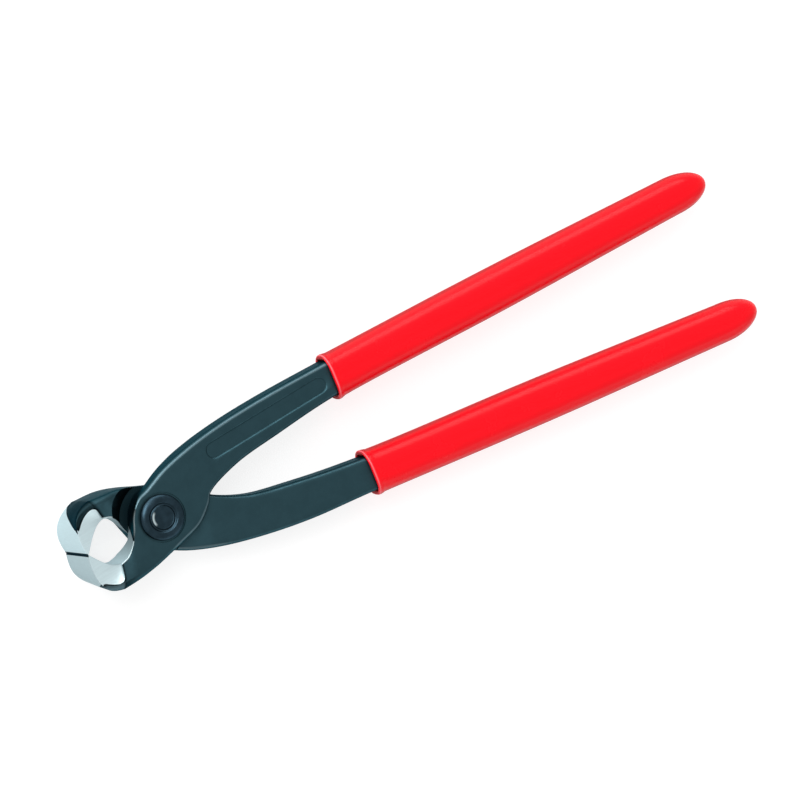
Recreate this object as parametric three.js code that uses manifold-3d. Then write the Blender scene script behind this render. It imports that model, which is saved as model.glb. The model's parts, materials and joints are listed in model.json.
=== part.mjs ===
// Concreters' nippers: two crossed forged levers on one pivot rivet, with a dipped grip on each handle.
// Millimetres, +Z up. The tool lies flat: nose towards -X, handles towards +X, pivot axis along Z.
import * as THREE from 'three';
import { mergeVertices } from 'three/addons/utils/BufferGeometryUtils.js';
import Module from 'manifold-3d';

const wasm = await Module();
wasm.setup();

// Overall sizes
const LENGTH = 220; // nose to grip tip
const OPENING_DEG = 22; // how far the front lever swings open from closed jaws

// Jaws, measured from the pivot axis
const JAW_WIDTH = 20.5; // length of the cutting edges, along Z
const JAW_REACH = 25.9; // pivot to cutting edge
const NOSE_REACH = 26.4; // pivot to the foremost point of the nose
const NOSE_LEVEL = 4; // that foremost point, from the middle plane
const JAW_HEIGHT = 13.9; // from the middle plane to the highest point of one jaw
const JAW_CREST = 16; // that highest point, in front of the pivot
const THROAT_HEIGHT = 6.9; // from the middle plane to the roof of the throat
const THROAT_CREST = 16.4; // that roof, in front of the pivot
const THROAT_THICKNESS = 12.4; // jaw thickness at the roof of the throat
const FACET_START = 19.2; // where the ground side facet begins on the outer rim
const CUTTING_LAND = 0.3; // flat left on the cutting edge
const CUTTING_GAP = 0.4; // between the two cutting edges when closed

// Joint
const JOINT_THICKNESS = 11; // both halves of the lap together
const DISC_RADIUS = 10.4; // round part of each lever at the joint
const DISC_FRONT = 9.2; // pivot to the throat side of the disc
const CROTCH_REACH = 16.5; // pivot to the fork between the handles
const RAMP_FOOT = 9.6; // sloped wall of the lap recess, in front of the pivot, at the lap faces
const RAMP_TOP = 12.6; // and at the faces of the joint
const LAP_GAP = 0.3; // between the two lap faces
const SWING_CLEARANCE = 0.35; // round a lever inside the other one's recess
const RECESS_REACH = 45; // how far the recess runs along the other lever's handle and jaw

// Handles
const NECK_LENGTH = 63.5; // pivot to the mouth of the grip
const NECK_OFFSET = 15.05; // middle plane to the handle's centre line at the mouth
const NECK_WIDTH = 10.2;
const NECK_THICKNESS = 8.4;
const NECK_LIFT = 3.6; // how much thinner than the joint a lever is next to it, on its lap side
const MIDDLE_OFFSET = 17.7; // middle plane to the handle's centre line halfway along the grip
const MIDDLE_WIDTH = 10; // tang there
const MIDDLE_THICKNESS = 7.8;
const TIP_OFFSET = 20.2; // middle plane to the handle's centre line at the end of the tang
const TANG_WIDTH = 8.2; // at the end of the tang
const TANG_THICKNESS = 6.4;
const EDGE_RADIUS = 1.3;
const CREST_RADIUS = 2; // on the outer rim of the jaw
const THROAT_RADIUS = 0.5; // on the throat side of the disc
const SHARP_RADIUS = 0.12; // on the ground edges of the jaw

// Plain panel sunk in the neck
const PANEL_LENGTH = 42;
const PANEL_WIDTH = 5.1;
const PANEL_DEPTH = 0.4;
const PANEL_START = 19.5; // pivot to the panel's near end
const PANEL_NEAR_OFFSET = 10.8; // middle plane to the panel's centre line at that end
const PANEL_FAR_OFFSET = 15; // and at the far end

// Grips
const GRIP_WALL = 1.4;
const GRIP_CLEARANCE = 0.25;
const GRIP_TIP = 11.5; // rounded solid end beyond the tang
const GRIP_RADIUS = 3.6; // corner of the grip's section
const LIP_LENGTH = 1.6;
const LIP_HEIGHT = 0.25;

// Rivet
const RIVET_DIAMETER = 9;
const RIVET_HEAD_DIAMETER = 13.3;
const RIVET_HEAD_HEIGHT = 1.5;
const RIVET_RIM_HEIGHT = 0.6; // straight edge under the dome
const DIMPLE_DIAMETER = 7.4;
const DIMPLE_DEPTH = 0.5;
const RIVET_CLEARANCE = 0.25;

// Fineness of the faceted surfaces
const STEPS_PER_SPAN = 5;
const NOSE_STEPS = 9; // round the nose
const EDGE_STEPS = 3; // from the foremost point to the cutting edge
const CORNER_STEPS = 3;
const GRIP_STEPS = 9;
const TIP_STEPS = 7;
const ROUND_STEPS = 48;
const RECESS_STEPS = 180;

// Values that follow from the sizes above
const TIP_X = LENGTH - NOSE_REACH;
const TANG_END = TIP_X - GRIP_TIP;
const TANG_MIDDLE = (NECK_LENGTH + TANG_END) / 2;
const HALF_JOINT = JOINT_THICKNESS / 2;
const HALF_JAW = JAW_WIDTH / 2;
const HALF_GAP = CUTTING_GAP / 2;
const JAW_STEPS = NOSE_STEPS + EDGE_STEPS;
const HANDLE_SPANS = 7; // spans of a rim from the end of the tang to the disc

// Half thickness of the lever along the handle, an even taper from the fork to the mouth of the grip.
function halfThickness(x) {
  const along = THREE.MathUtils.clamp((x - CROTCH_REACH) / (NECK_LENGTH - CROTCH_REACH), 0, 1);
  return THREE.MathUtils.lerp(HALF_JOINT, NECK_THICKNESS / 2, along);
}

// How much thinner the handle is on its lap side, an even taper from the joint to nothing at the grip.
function lapLift(x) {
  return NECK_LIFT * (1 - THREE.MathUtils.clamp(x / NECK_LENGTH, 0, 1));
}

// A point of a lever's rim: plan position and half thickness there.
function rim(x, y, half = halfThickness(x)) {
  return new THREE.Vector3(x, y, half);
}

function onDisc(radius, degrees, half = HALF_JOINT) {
  const angle = THREE.MathUtils.degToRad(degrees);
  return rim(radius * Math.cos(angle), radius * Math.sin(angle), half);
}

// A point of the nose's outline: a quarter ellipse to the foremost point, then a curve to the cutting edge.
function nosePoint(step) {
  const start = Math.asin((FACET_START - JAW_CREST) / (NOSE_REACH - JAW_CREST));
  const angle = THREE.MathUtils.lerp(start, Math.PI / 2, Math.min(step / NOSE_STEPS, 1));
  const reach = JAW_CREST + (NOSE_REACH - JAW_CREST) * Math.sin(angle);
  const level = NOSE_LEVEL + (JAW_HEIGHT - NOSE_LEVEL) * Math.cos(angle);
  const past = Math.max(0, (step - NOSE_STEPS) / EDGE_STEPS);
  const setBack = (NOSE_REACH - JAW_REACH) * past * past;
  return rim(setBack - reach, (NOSE_LEVEL - HALF_GAP) * past - level, HALF_JAW);
}

// Back rim: outer side of the handle, throat side of the disc, roof of the throat.
const backRim = [
  rim(TANG_END, TIP_OFFSET + TANG_WIDTH / 2, TANG_THICKNESS / 2),
  rim(TANG_MIDDLE, MIDDLE_OFFSET + MIDDLE_WIDTH / 2, MIDDLE_THICKNESS / 2),
  rim(NECK_LENGTH, NECK_OFFSET + NECK_WIDTH / 2),
  rim(42, 19.3),
  rim(27, 17.75),
  rim(15, 15.55),
  rim(5.5, 12.75),
  onDisc(DISC_RADIUS - 0.9, 97),
  onDisc(DISC_RADIUS - 1.4, 119),
  onDisc(DISC_FRONT - 0.7, 151),
  onDisc(DISC_FRONT, 180),
  onDisc(DISC_FRONT + 2.6, 197.5),
  rim(-THROAT_CREST + 2.6, 0.9 - THROAT_HEIGHT, THROAT_THICKNESS / 2 - 0.4),
  rim(-THROAT_CREST, -THROAT_HEIGHT, THROAT_THICKNESS / 2),
];

// Front rim: inner side of the handle, fork, far side of the disc, outside of the jaw.
const frontRim = [
  rim(TANG_END, TIP_OFFSET - TANG_WIDTH / 2, TANG_THICKNESS / 2),
  rim(TANG_MIDDLE, MIDDLE_OFFSET - MIDDLE_WIDTH / 2, MIDDLE_THICKNESS / 2),
  rim(NECK_LENGTH, NECK_OFFSET - NECK_WIDTH / 2),
  rim(42, 7.4),
  rim(27, 4.8),
  rim(CROTCH_REACH, 0.2),
  onDisc(DISC_RADIUS + 4.1, -7),
  onDisc(DISC_RADIUS + 1.2, -33),
  onDisc(DISC_RADIUS - 0.9, -68),
  onDisc(DISC_RADIUS + 0.1, -97),
  rim(-6, -12, HALF_JOINT + 0.2),
  rim(-10, -12.8, HALF_JOINT + 1.2),
  rim(-14, -13.4, HALF_JOINT + 2.8),
  nosePoint(0),
];

// Rims of the ground jaw: a quarter wave up the throat and the nose's outline, closing on the cutting edge.
function jawRims() {
  const run = JAW_REACH - CUTTING_LAND - THROAT_CREST;
  const drop = THROAT_HEIGHT - HALF_GAP;
  const back = [];
  const front = [];
  for (let i = 1; i <= JAW_STEPS; i++) {
    const share = i / JAW_STEPS;
    const fall = drop * Math.cos((share * Math.PI) / 2);
    const half = THREE.MathUtils.lerp(THROAT_THICKNESS / 2, HALF_JAW, share);
    back.push(rim(-THROAT_CREST - run * share, -HALF_GAP - fall, half));
    front.push(nosePoint(i));
  }
  return { back, front };
}

// Corner radii of a section: rounded on the handle, crisper in the throat, sharp where the jaw is ground.
function cornerRadii(station, groundShare) {
  const { lerp, smoothstep } = THREE.MathUtils;
  const last = backRim.length - 1;
  if (groundShare > 0) {
    return { back: SHARP_RADIUS, front: lerp(CREST_RADIUS, SHARP_RADIUS, smoothstep(groundShare, 0, 0.5)) };
  }
  return {
    back: lerp(EDGE_RADIUS, THROAT_RADIUS, smoothstep(station, last - 6, last - 4)),
    front: lerp(EDGE_RADIUS, CREST_RADIUS, smoothstep(station, last - 2, last)),
  };
}

// Closed ring round one section of a bar, from its back rim to its front rim, with rounded corners.
function sectionRing(back, front, radii, grow = 0, lift = { back: 0, front: 0 }) {
  const across = new THREE.Vector3(front.x - back.x, front.y - back.y, 0);
  const width = across.length();
  across.normalize();
  const limit = Math.min(width / 2.2, back.z);
  const rBack = Math.min(radii.back, limit) + grow;
  const rFront = Math.min(radii.front, limit) + grow;
  const corners = [
    [rBack, rBack - grow, back.z + grow - rBack, 180],
    [rFront, width + grow - rFront, front.z + grow - rFront, 90],
    [rFront, width + grow - rFront, rFront - front.z - grow + lift.front, 0],
    [rBack, rBack - grow, rBack - back.z - grow + lift.back, -90],
  ];
  return corners.flatMap(([r, along, z, degrees]) => {
    const ring = [];
    for (let i = 0; i <= CORNER_STEPS; i++) {
      const angle = THREE.MathUtils.degToRad(degrees - (90 * i) / CORNER_STEPS);
      const reach = along + r * Math.cos(angle);
      ring.push(new THREE.Vector3(back.x + across.x * reach, back.y + across.y * reach, z + r * Math.sin(angle)));
    }
    return ring;
  });
}

// Closed body through a row of rings, with a flat cap at each end.
function loft(rings) {
  const size = rings[0].length;
  const index = [];
  for (let i = 0; i + 1 < rings.length; i++) {
    for (let j = 0; j < size; j++) {
      const a = i * size + j;
      const b = i * size + ((j + 1) % size);
      index.push(a, a + size, b, b, a + size, b + size);
    }
  }
  const last = (rings.length - 1) * size;
  for (let j = 1; j + 1 < size; j++) {
    index.push(0, j, j + 1);
    index.push(last, last + j + 1, last + j);
  }
  const geometry = new THREE.BufferGeometry().setFromPoints(rings.flat());
  geometry.setIndex(index);
  return geometry;
}

function toSolid(geometry) {
  const bare = geometry.clone();
  bare.deleteAttribute('normal');
  bare.deleteAttribute('uv');
  const merged = mergeVertices(bare, 1e-4);
  return new wasm.Manifold(new wasm.Mesh({
    numProp: 3,
    vertProperties: new Float32Array(merged.attributes.position.array),
    triVerts: new Uint32Array(merged.index.array),
  }));
}

function toGeometry(solid) {
  const mesh = solid.getMesh();
  const geometry = new THREE.BufferGeometry();
  geometry.setAttribute('position', new THREE.BufferAttribute(mesh.vertProperties, 3));
  geometry.setIndex(new THREE.BufferAttribute(mesh.triVerts, 1));
  geometry.computeVertexNormals();
  return geometry;
}

// Points along a rim, drawn smoothly through its given points.
function spanPoints(points, from, to) {
  const curve = new THREE.CatmullRomCurve3(points);
  const spans = points.length - 1;
  const samples = [];
  for (let i = from * STEPS_PER_SPAN; i <= to * STEPS_PER_SPAN; i++) {
    samples.push(curve.getPoint(i / (spans * STEPS_PER_SPAN)));
  }
  return samples;
}

function leverRims() {
  const jaw = jawRims();
  const last = backRim.length - 1;
  return {
    back: [...spanPoints(backRim, 0, last), ...jaw.back],
    front: [...spanPoints(frontRim, 0, last), ...jaw.front],
    jawStart: last * STEPS_PER_SPAN,
  };
}

// Distance from the pivot to the edge of a lever's plan outline, in one direction.
function planReach(outline, angle) {
  const cos = Math.cos(angle);
  const sin = Math.sin(angle);
  let nearest = RECESS_REACH;
  outline.forEach((p, i) => {
    const q = outline[(i + 1) % outline.length];
    const sideP = p.y * cos - p.x * sin;
    const sideQ = q.y * cos - q.x * sin;
    if (sideP > 0 === sideQ > 0) return;
    const share = sideP / (sideP - sideQ);
    const reach = (p.x + (q.x - p.x) * share) * cos + (p.y + (q.y - p.y) * share) * sin;
    if (reach > 0) nearest = Math.min(nearest, reach);
  });
  return nearest;
}

// Recess in the back of the front lever: all that the rear lever's half of the joint sweeps over.
function recessGeometry(rims) {
  const outline = [...rims.back, ...rims.front.slice().reverse()];
  const step = (2 * Math.PI) / RECESS_STEPS;
  const swing = Math.ceil(THREE.MathUtils.degToRad(OPENING_DEG) / step);
  const points = [];
  for (let i = 0; i < RECESS_STEPS; i++) {
    let reach = 0;
    for (let turn = 0; turn <= swing; turn++) {
      reach = Math.max(reach, planReach(outline, -(i + turn) * step));
    }
    const towardsJaw = -Math.cos(i * step);
    const wall = towardsJaw > 0 ? Math.min(RAMP_FOOT / towardsJaw, RECESS_REACH) : 0;
    const radius = Math.max(reach + SWING_CLEARANCE, wall);
    points.push(new THREE.Vector2(radius * Math.cos(i * step), radius * Math.sin(i * step)));
  }
  const depth = JAW_WIDTH;
  const geometry = new THREE.ExtrudeGeometry(new THREE.Shape(points), { depth, bevelEnabled: false });
  return geometry.translate(0, 0, LAP_GAP / 2 - depth);
}

// Wedge that gives the recess its sloped wall on the jaw side.
function rampGeometry() {
  const drop = HALF_JOINT + LAP_GAP / 2;
  const slope = (RAMP_TOP - RAMP_FOOT) / drop;
  const wedge = new THREE.Shape();
  wedge.moveTo(-RAMP_FOOT, 0);
  wedge.lineTo(-RAMP_FOOT - slope * JAW_WIDTH, -JAW_WIDTH);
  wedge.lineTo(-RAMP_FOOT, -JAW_WIDTH);
  const depth = 2 * RECESS_REACH;
  return new THREE.ExtrudeGeometry(wedge, { depth, bevelEnabled: false })
    .rotateX(Math.PI / 2)
    .translate(0, depth / 2, LAP_GAP / 2);
}

// Rounded panel sunk in the front of the neck, its floor even with the face round it.
function panelGeometry() {
  const r = PANEL_WIDTH / 2;
  const half = PANEL_LENGTH / 2 - r;
  const shape = new THREE.Shape();
  shape.absarc(half, 0, r, -Math.PI / 2, Math.PI / 2);
  shape.absarc(-half, 0, r, Math.PI / 2, (3 * Math.PI) / 2);
  const middle = PANEL_START + PANEL_LENGTH / 2;
  const rise = PANEL_FAR_OFFSET - PANEL_NEAR_OFFSET;
  const fall = halfThickness(PANEL_START) - halfThickness(PANEL_START + PANEL_LENGTH);
  return new THREE.ExtrudeGeometry(shape, { depth: HALF_JOINT, bevelEnabled: false, curveSegments: 8 })
    .translate(0, 0, -PANEL_DEPTH)
    .rotateY(Math.atan2(fall, PANEL_LENGTH))
    .rotateZ(Math.atan2(rise, PANEL_LENGTH))
    .translate(middle, (PANEL_NEAR_OFFSET + PANEL_FAR_OFFSET) / 2, halfThickness(middle));
}

function rivetHole() {
  const radius = RIVET_DIAMETER / 2 + RIVET_CLEARANCE;
  return new THREE.CylinderGeometry(radius, radius, 2 * JOINT_THICKNESS, ROUND_STEPS).rotateX(Math.PI / 2);
}

// One forged lever: handle towards +Y, jaw towards -Y, its half of the lap in front.
function leverGeometry() {
  const rims = leverRims();
  const rings = rims.back.map((back, i) => {
    const front = rims.front[i];
    const radii = cornerRadii(i / STEPS_PER_SPAN, (i - rims.jawStart) / JAW_STEPS);
    const onHandle = THREE.MathUtils.clamp(HANDLE_SPANS + 1 - i / STEPS_PER_SPAN, 0, 1);
    const lift = { back: onHandle * lapLift(back.x), front: onHandle * lapLift(front.x) };
    return sectionRing(back, front, radii, 0, lift);
  });
  const forging = toSolid(loft(rings));
  const cuts = [recessGeometry(rims), rampGeometry(), rivetHole(), panelGeometry()];
  return toGeometry(cuts.reduce((solid, cut) => solid.subtract(toSolid(cut)), forging));
}

// Dipped grip: a sleeve round the tang with a lip at its mouth and a solid rounded tip.
function gripGeometry() {
  const grow = GRIP_WALL + GRIP_CLEARANCE;
  const outer = { back: GRIP_RADIUS, front: GRIP_RADIUS };
  const inner = { back: EDGE_RADIUS, front: EDGE_RADIUS };
  const back = spanPoints(backRim, 0, 2).reverse();
  const front = spanPoints(frontRim, 0, 2).reverse();
  const at = (share) => {
    const place = share * (back.length - 1);
    const i = Math.min(Math.floor(place), back.length - 2);
    return [back[i].clone().lerp(back[i + 1], place - i), front[i].clone().lerp(front[i + 1], place - i)];
  };
  const mouthLip = LIP_LENGTH / (TANG_END - NECK_LENGTH);
  const shares = [0, mouthLip / 3, mouthLip];
  for (let i = 1; i <= GRIP_STEPS; i++) shares.push(THREE.MathUtils.lerp(2 * mouthLip, 1, i / GRIP_STEPS));
  const lip = [LIP_HEIGHT / 2, LIP_HEIGHT, 0];
  const rings = shares.map((share, i) => sectionRing(...at(share), outer, grow + (lip[i] ?? 0)));
  rings.push(...tipRings(rings.at(-1)));
  const bore = at(0).map((p) => p.setX(p.x - LIP_LENGTH));
  const cavity = [bore, ...shares.map(at), at(1).map((p) => p.setX(p.x + GRIP_CLEARANCE))];
  const boreRings = cavity.map(([b, f]) => sectionRing(b, f, inner, GRIP_CLEARANCE));
  return toGeometry(toSolid(loft(rings.reverse())).subtract(toSolid(loft(boreRings.reverse()))));
}

// Rings that draw a section in to a rounded end.
function tipRings(ring) {
  const centre = ring.reduce((sum, p) => sum.add(p), new THREE.Vector3()).divideScalar(ring.length);
  const rings = [];
  for (let i = 1; i <= TIP_STEPS; i++) {
    const angle = ((i / TIP_STEPS) * Math.PI) / 2;
    const scale = Math.max(Math.cos(angle), 0.04);
    rings.push(ring.map((p) => p.clone().sub(centre).multiplyScalar(scale).add(centre)
      .setX(centre.x + GRIP_TIP * Math.sin(angle))));
  }
  return rings;
}

// Rivet: a shank through both halves of the lap, with a domed and dimpled head on each side.
function rivetGeometry() {
  const head = RIVET_HEAD_DIAMETER / 2;
  const dimple = DIMPLE_DIAMETER / 2;
  const seat = HALF_JOINT + RIVET_CLEARANCE;
  const top = HALF_JOINT + RIVET_HEAD_HEIGHT;
  const dome = top - RIVET_RIM_HEIGHT - seat;
  const upper = [
    new THREE.Vector2(RIVET_DIAMETER / 2, seat),
    new THREE.Vector2(head, seat),
  ];
  const domeSteps = 4;
  for (let i = 0; i <= domeSteps; i++) {
    const angle = ((i / domeSteps) * Math.PI) / 2;
    const x = THREE.MathUtils.lerp(dimple, head, Math.cos(angle));
    upper.push(new THREE.Vector2(x, seat + RIVET_RIM_HEIGHT + dome * Math.sin(angle)));
  }
  upper.push(new THREE.Vector2(dimple - DIMPLE_DEPTH, top - DIMPLE_DEPTH));
  upper.push(new THREE.Vector2(0, top - DIMPLE_DEPTH));
  const lower = upper.map((p) => new THREE.Vector2(p.x, -p.y)).reverse();
  return new THREE.LatheGeometry([...lower, ...upper], ROUND_STEPS).rotateX(Math.PI / 2);
}

function piece(name, geometry, colour, roughness, metalness) {
  const material = new THREE.MeshStandardMaterial({ color: colour, roughness, metalness });
  const mesh = new THREE.Mesh(geometry, material);
  mesh.name = name;
  return mesh;
}

const STEEL_COLOUR = 0x2f454c;
const RIVET_COLOUR = 0x2a363d;
const GRIP_COLOUR = 0xf01828;

const lever = leverGeometry();
const grip = gripGeometry();

const frontSide = new THREE.Group();
frontSide.add(piece('front_lever', lever, STEEL_COLOUR, 0.45, 0.8));
frontSide.add(piece('front_grip', grip, GRIP_COLOUR, 0.3, 0));

// The rear lever is the same forging turned over about the tool's long axis.
const rearSide = new THREE.Group();
rearSide.rotation.x = Math.PI;
rearSide.add(piece('rear_lever', lever, STEEL_COLOUR, 0.45, 0.8));
rearSide.add(piece('rear_grip', grip, GRIP_COLOUR, 0.3, 0));

const nippers = new THREE.Group();
nippers.add(frontSide, rearSide, piece('pivot_rivet', rivetGeometry(), RIVET_COLOUR, 0.4, 0.85));

// The origin is the middle of the tool's length, on the surface under the jaws.
nippers.position.set(NOSE_REACH - LENGTH / 2, 0, HALF_JAW);

export default nippers;
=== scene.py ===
"""Concreters' nippers on a pale floor: two crossed forged levers, a pivot rivet and two dipped grips.

Lengths are metres. Each piece is modelled in its own frame with the pivot at the origin: handle towards +X
and +Y, jaw towards -X and -Y, the lever's half of the lap joint towards +Z. The rear side is turned over.
"""

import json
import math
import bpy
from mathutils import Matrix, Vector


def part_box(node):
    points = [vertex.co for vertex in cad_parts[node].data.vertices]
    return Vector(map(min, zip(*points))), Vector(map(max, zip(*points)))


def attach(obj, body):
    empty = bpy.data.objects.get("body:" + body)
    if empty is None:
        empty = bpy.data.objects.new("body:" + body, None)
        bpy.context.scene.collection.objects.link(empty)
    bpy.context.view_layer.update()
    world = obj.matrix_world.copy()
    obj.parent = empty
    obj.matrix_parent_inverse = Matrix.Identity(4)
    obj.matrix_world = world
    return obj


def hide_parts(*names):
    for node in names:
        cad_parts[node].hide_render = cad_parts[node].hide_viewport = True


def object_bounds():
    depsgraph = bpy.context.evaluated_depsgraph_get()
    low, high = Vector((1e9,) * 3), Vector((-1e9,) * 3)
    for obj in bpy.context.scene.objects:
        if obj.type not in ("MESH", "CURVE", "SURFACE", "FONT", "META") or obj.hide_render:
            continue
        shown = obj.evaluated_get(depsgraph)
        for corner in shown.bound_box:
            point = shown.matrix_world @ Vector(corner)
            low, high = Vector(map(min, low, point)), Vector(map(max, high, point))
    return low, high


bl_info = {
    "name": "Concreters' Nippers",
    "version": (1, 0, 0),
    "blender": (4, 5, 0),
    "location": "3D View > Sidebar > Nippers",
    "description": "Models a pair of end-cutting nippers piece by piece on its packed frame",
    "category": "Add Mesh",
}

from types import SimpleNamespace

import bmesh
import bpy
from bpy.props import FloatProperty, FloatVectorProperty, PointerProperty
from mathutils import Matrix, Vector

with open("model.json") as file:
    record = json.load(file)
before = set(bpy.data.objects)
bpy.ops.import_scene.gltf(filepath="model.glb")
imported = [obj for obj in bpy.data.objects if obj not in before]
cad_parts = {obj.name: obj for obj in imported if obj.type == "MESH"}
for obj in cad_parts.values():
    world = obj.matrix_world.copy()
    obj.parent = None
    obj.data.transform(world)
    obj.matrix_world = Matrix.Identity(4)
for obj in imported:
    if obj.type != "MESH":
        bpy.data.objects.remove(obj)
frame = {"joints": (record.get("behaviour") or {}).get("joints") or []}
CAD_LOW, CAD_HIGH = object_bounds()

# Places and sizes that the frame gives
HINGE = frame["joints"][0]
PIVOT = Vector(HINGE["pos_m"])
OPENING = math.radians(HINGE["range_deg"][1])
NOSE_REACH = PIVOT.x - CAD_LOW.x
TIP_REACH = CAD_HIGH.x - PIVOT.x
HALF_JAW = (CAD_HIGH.z - CAD_LOW.z) / 2
NECK_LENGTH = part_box("front_grip")[0].x - PIVOT.x

MM = 0.001

# Fineness of the surfaces
SPAN_STEPS = 8
NOSE_STEPS = 27
EDGE_STEPS = 9
JAW_STEPS = NOSE_STEPS + EDGE_STEPS
HANDLE_SPANS = 7
JAW_SPANS = 13
CORNER_STEPS = 6
FACE_STEPS = 16
WALL_STEPS = 10
RECESS_STEPS = 240
ROUND_STEPS = 96
SMOOTH_ANGLE = math.radians(32)
MERGE_DISTANCE = 0.0005 * MM

# Places round a section: a corner, the front face, a corner and a wall, then the same for its rear half
FACE_END = CORNER_STEPS + FACE_STEPS
WALL_START = FACE_END + CORNER_STEPS
HALF_RING = WALL_START + WALL_STEPS

# Outline of the neck: stations from the pivot, then the outer and inner side from the middle plane
NECK_FAR = 42 * MM
NECK_NEAR = 27 * MM
NECK_ROOT = 15 * MM
SHOULDER = 5.5 * MM
OUTER_FAR = 19.3 * MM
OUTER_NEAR = 17.75 * MM
OUTER_ROOT = 15.55 * MM
OUTER_SHOULDER = 12.75 * MM
INNER_FAR = 7.4 * MM
INNER_NEAR = 4.8 * MM
FORK_LEVEL = 0.2 * MM

# Ovals of the nose: 2 is an ellipse, more is fuller. Towards the rear the crest is also set back. The front
# and rear ovals part from some stations behind the facet on.
NOSE_FULLNESS = 2.25
FRONT_FULLNESS = 2.8
REAR_FULLNESS = 2.0
REAR_SET = 2.5 * MM
LEAN_STATIONS = 1.5 * SPAN_STEPS

# Rim of the jaw: how much it flares along the facet, the run of the facet's step, painted shade at the edge
FLARE = 0.4 * MM
STEP_RUN = 0.02 * MM
EDGE_SHADE = 0.5 * MM

# Depths in millimetres between which the forged skin turns bright in a ground zone, and painted shade darkens
# it beside it
BRIGHT_START = -0.04
BRIGHT_END = 0.06
DARK_START = -0.9
DARK_END = -0.25

# Ground zone of each jaw, in millimetres: height of its border on the nose and how that bends at the front
# rim; depths of the painted shade on the skin beside it, on its rim and walls, and how far that reaches; and
# the painted light and shade on the ground nose
FRONT_ZONE = SimpleNamespace(
    top=11.6, bend=0.0015, shade_depth=0.5, shade_reach=13, rim_depth=0.95, wall_depth=0.75, nose_shade=0.66)
REAR_ZONE = SimpleNamespace(
    top=10.6, bend=0.0155, shade_depth=0.47, shade_reach=2.5, rim_depth=0.47, wall_depth=0.47, nose_shade=0.88)

# Stage: a camera at the photograph's angle, and the light
LENS = 389.5
SENSOR_WIDTH = 36
CAMERA_DISTANCE = 2.5
CAMERA_AIM = Vector((-0.002145, 0.000071, 0.009733))
CAMERA_HEADING = math.radians(-116.96)
CAMERA_TILT = math.radians(20.16)
CAMERA_ROLL = math.radians(93.02)
CLIP_END = 50
FLOOR_SIZE = 12
FLOOR_GLOW = 0.78
STUDIO_GLOW = 0.55
WHITE = (1, 1, 1, 1)


def mm(name, millimetres, description):
    """A length that the sidebar shows."""
    return FloatProperty(
        name=name, description=description, default=millimetres * MM, unit="LENGTH", precision=5)


def colour(name, value, description):
    """A colour that the sidebar shows."""
    return FloatVectorProperty(
        name=name, description=description, default=value, size=3, subtype="COLOR", min=0, max=1)


class JawSizes(bpy.types.PropertyGroup):
    """Jaws, measured from the pivot axis and the middle plane"""

    reach: mm("Reach", 25.9, "Pivot to cutting edge")
    nose_level: mm("Nose level", 4, "Foremost point, from the middle plane")
    height: mm("Height", 13.9, "Middle plane to the highest point of one jaw")
    crest: mm("Crest", 16, "That highest point, in front of the pivot")
    throat_height: mm("Throat height", 6.9, "Middle plane to the roof of the throat")
    throat_crest: mm("Throat crest", 16.4, "That roof, in front of the pivot")
    throat_thickness: mm("Throat thickness", 12.4, "Jaw thickness at the roof of the throat")
    facet_start: mm("Facet start", 19.2, "Where the ground facet begins on the outer rim")
    facet_step: mm("Facet step", 0.25, "How far the ground facet lies under the forged face")
    land: mm("Land", 0.3, "Flat left on the cutting edge")
    gap: mm("Gap", 0.12, "Between the closed cutting edges")


class JointSizes(bpy.types.PropertyGroup):
    """Lap joint round the pivot"""

    thickness: mm("Thickness", 11, "Both halves of the lap together")
    lift: mm("Lift", 3.6, "How much thinner than the joint a lever is next to it, on its lap side")
    heel_lift: mm("Heel lift", 1.75, "Further thinning where the handle runs into the disc")
    heel_reach: mm("Heel reach", 12, "Pivot to the end of that thinning")
    sway: mm("Sway", 0.35, "How far the necks sit towards the rear lever's side")
    disc_radius: mm("Disc radius", 10.4, "Round part of each lever")
    disc_front: mm("Disc front", 9.2, "Pivot to the throat side of the disc")
    crotch: mm("Crotch", 16.5, "Pivot to the fork between the handles")
    ramp_foot: mm("Ramp foot", 10.9, "Radius of the recess's sloped wall at the lap faces")
    ramp_top: mm("Ramp top", 14.8, "Radius of the sloped wall at the faces of the joint")
    lap_gap: mm("Lap gap", 0.3, "Between the two lap faces")
    clearance: mm("Clearance", 0.12, "Round a lever inside the other one's recess")
    recess_reach: mm("Recess reach", 45, "How far the recess follows the other lever")


class HandleSizes(bpy.types.PropertyGroup):
    """Handles, from the neck to the end of the tang"""

    neck_offset: mm("Neck offset", 15.05, "Middle plane to the centre line at the mouth of the grip")
    neck_width: mm("Neck width", 10.2, "Handle at the mouth of the grip")
    neck_thickness: mm("Neck thickness", 8.4, "Handle at the mouth of the grip")
    middle_offset: mm("Middle offset", 17.7, "Centre line halfway along the grip")
    middle_width: mm("Middle width", 10, "Tang halfway along the grip")
    middle_thickness: mm("Middle thickness", 7.8, "Tang halfway along the grip")
    tip_offset: mm("Tip offset", 20.2, "Centre line at the end of the tang")
    tang_width: mm("Tang width", 8.2, "End of the tang")
    tang_thickness: mm("Tang thickness", 6.4, "End of the tang")
    edge_radius: mm("Edge radius", 1.3, "Rounded edges of the forging")
    crest_radius: mm("Crest radius", 2, "Outer rim of the jaw")
    throat_radius: mm("Throat radius", 0.5, "Throat side of the disc")
    sharp_radius: mm("Sharp radius", 0.12, "Ground edges of the jaw")


class PanelSizes(bpy.types.PropertyGroup):
    """Plain panel sunk in the neck"""

    length: mm("Length", 42, "Along the neck")
    width: mm("Width", 5.1, "Across the neck")
    depth: mm("Depth", 0.4, "Below the face of the neck")
    start: mm("Start", 19.5, "Pivot to the near end")
    near_offset: mm("Near offset", 10.8, "Middle plane to the centre line at the near end")
    far_offset: mm("Far offset", 15, "Middle plane to the centre line at the far end")


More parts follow.
